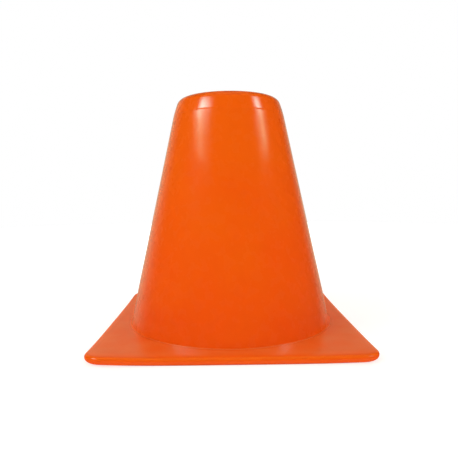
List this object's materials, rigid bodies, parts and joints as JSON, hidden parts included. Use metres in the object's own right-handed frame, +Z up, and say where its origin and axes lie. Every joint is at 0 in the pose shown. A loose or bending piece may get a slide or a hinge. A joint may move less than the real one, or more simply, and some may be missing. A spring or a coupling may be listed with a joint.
{
  "type": "traffic cone",
  "caption": "Small squat orange traffic cone: hollow tapered body on a flat square base plate, with a rounded collar round an open top.",
  "frame": {"origin": "on the ground, under the middle of the square base, on the cone's axis", "axes": "+Z up along the cone's axis; X and Y along the sides of the base, with the side seen in the picture facing -Y"},
  "size_m": [0.158, 0.158, 0.15],
  "materials": {
    "base_vinyl": "satin",
    "body_vinyl": "satin",
    "collar_vinyl": "gloss"
  },
  "bodies": {
    "root": {"base_plate": "base_vinyl", "cone_body": "body_vinyl", "top_collar": "collar_vinyl"}
  },
  "joints": []
}
